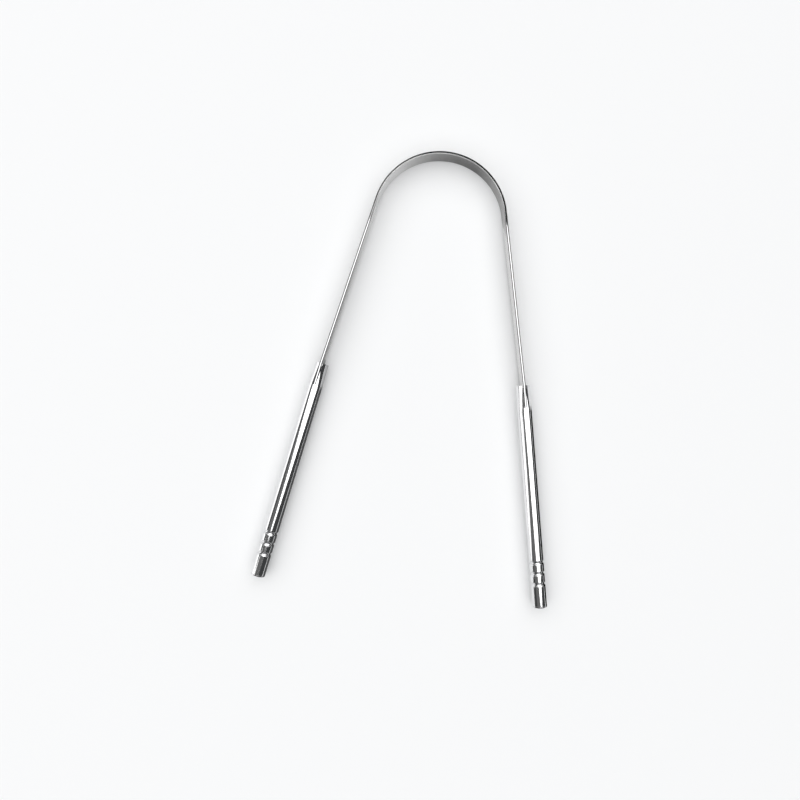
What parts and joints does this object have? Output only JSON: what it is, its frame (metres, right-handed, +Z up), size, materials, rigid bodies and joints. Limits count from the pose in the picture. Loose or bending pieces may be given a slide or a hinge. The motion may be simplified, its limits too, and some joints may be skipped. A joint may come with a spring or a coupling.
{
  "type": "tongue scraper",
  "caption": "Springy U-shaped steel strip on its edge, with a slotted, grooved steel tube pressed onto each end as a handle.",
  "frame": {"origin": "under the middle of the whole object, on the surface that it lies on", "axes": "+Z up while it lies flat, along the strip's width; +Y from the handle ends to the bow; +X across, to the right handle"},
  "size_m": [0.0974, 0.1444, 0.007],
  "materials": {
    "strip_steel": "finely brushed along the width, bright edges",
    "tube_steel": "polished bright",
    "cap_steel": "polished, slightly duller than the tube"
  },
  "bodies": {
    "bow": {"blade_bow": "strip_steel"},
    "right_side": {"blade_arm_right": "strip_steel", "handle_tube_right": "tube_steel", "end_cap_right": "cap_steel"},
    "left_side": {"blade_arm_left": "strip_steel", "handle_tube_left": "tube_steel", "end_cap_left": "cap_steel"}
  },
  "joints": [
    {"name": "right_flex", "type": "hinge", "parent": "bow", "child": "right_side", "pos_m": [0.02101, 0.05486, 0.0035], "axis": [0, 0, -1], "range_deg": [-15, 19], "stiffness_Nm_per_rad": 0.81},
    {"name": "left_flex", "type": "hinge", "parent": "bow", "child": "left_side", "pos_m": [-0.02101, 0.05486, 0.0035], "axis": [0, 0, 1], "range_deg": [-15, 19], "stiffness_Nm_per_rad": 0.81}
  ]
}
